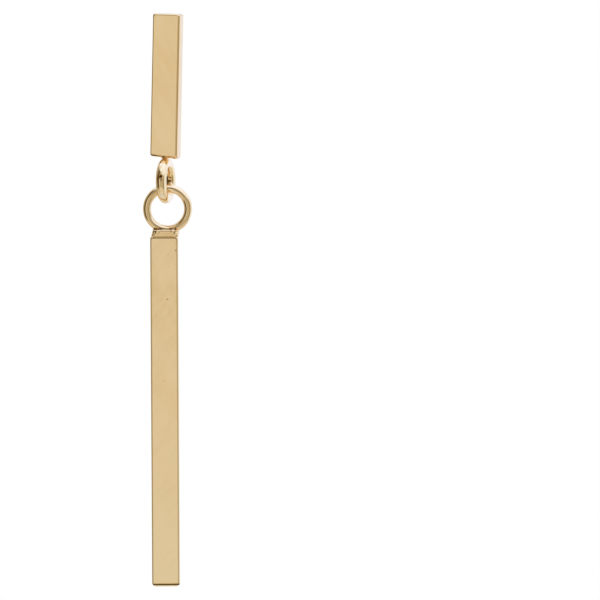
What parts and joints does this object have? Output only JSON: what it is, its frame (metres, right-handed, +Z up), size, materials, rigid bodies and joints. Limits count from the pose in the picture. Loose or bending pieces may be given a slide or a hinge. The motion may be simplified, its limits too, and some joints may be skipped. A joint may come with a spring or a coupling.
{
  "type": "dangle earring",
  "caption": "Post earring with a flat bar stud and a long flat bar that hangs from it by two linked wire rings and swings freely.",
  "frame": {"origin": "root of the ear post on the stud bar's back face, where the earring is pinned on", "axes": "+Z up as the earring hangs, the front faces -Y, and +Y runs along the post away from the stud"},
  "size_m": [0.0034, 0.0131, 0.0409],
  "materials": {
    "gold_plate": "brass with pale yellow gold plating, polished to a mirror"
  },
  "bodies": {
    "stud": {"stud_bar": "gold_plate", "ear_post": "gold_plate"},
    "drop": {"drop_bar": "gold_plate"}
  },
  "joints": [
    {"name": "drop_swing", "type": "hinge", "parent": "stud", "child": "drop", "pos_m": [-0.00009, -0.0005, -0.0101], "axis": [0, 1, 0], "range_deg": [-90, 90]}
  ]
}
